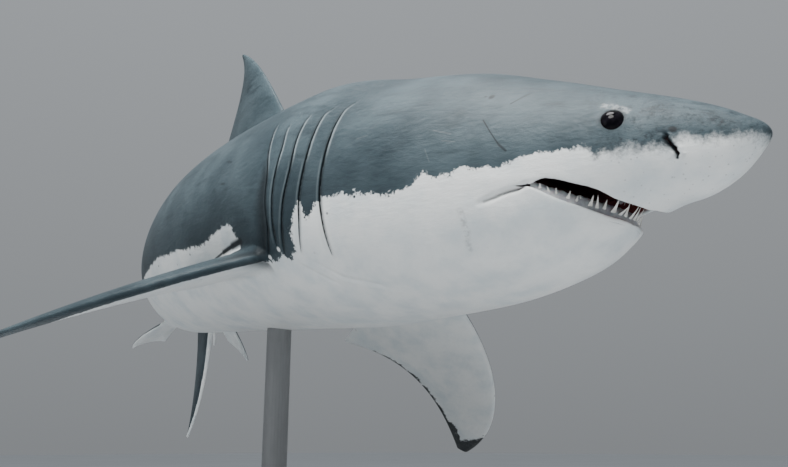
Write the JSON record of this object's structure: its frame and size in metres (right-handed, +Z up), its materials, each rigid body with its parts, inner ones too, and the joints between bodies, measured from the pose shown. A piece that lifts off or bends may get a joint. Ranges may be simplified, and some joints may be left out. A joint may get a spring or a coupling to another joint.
{
  "type": "great white shark display model",
  "caption": "Life-size still model of a swimming great white shark, mouth slightly open and tail bent to its left, held on a plain stand with a flat base and a rod.",
  "frame": {"origin": "centre of the stand base's underside, on the floor, under the middle of the body", "axes": "+X the way the head points, +Y to the animal's left, where its tail swings, +Z up"},
  "size_m": [3.9205, 1.9385, 1.9573],
  "materials": {
    "skin": "wet fine-grained skin, slate above and white below with a ragged edge between",
    "belly": "wet fine-grained white skin",
    "fin": "wet fine-grained skin, slate above and pale below, pectoral tips black beneath",
    "eye": "wet and near black",
    "stand_base": "satin dark grey paint",
    "stand_rod": "satin steel"
  },
  "bodies": {
    "root": {"head": "skin", "gill_region": "skin", "trunk_front": "skin", "trunk_rear": "skin", "tail_base": "skin", "caudal_peduncle": "skin", "first_dorsal_fin": "fin", "second_dorsal_fin": "fin", "anal_fin": "fin", "caudal_fin_upper_lobe": "fin", "caudal_fin_lower_lobe": "fin", "pectoral_fin_left": "fin", "pectoral_fin_right": "fin", "pelvic_fin_left": "fin", "pelvic_fin_right": "fin", "lower_jaw": "belly", "eye_left": "eye", "eye_right": "eye", "stand_base": "stand_base", "stand_rod": "stand_rod", "stand_flange": "stand_rod"}
  },
  "joints": []
}
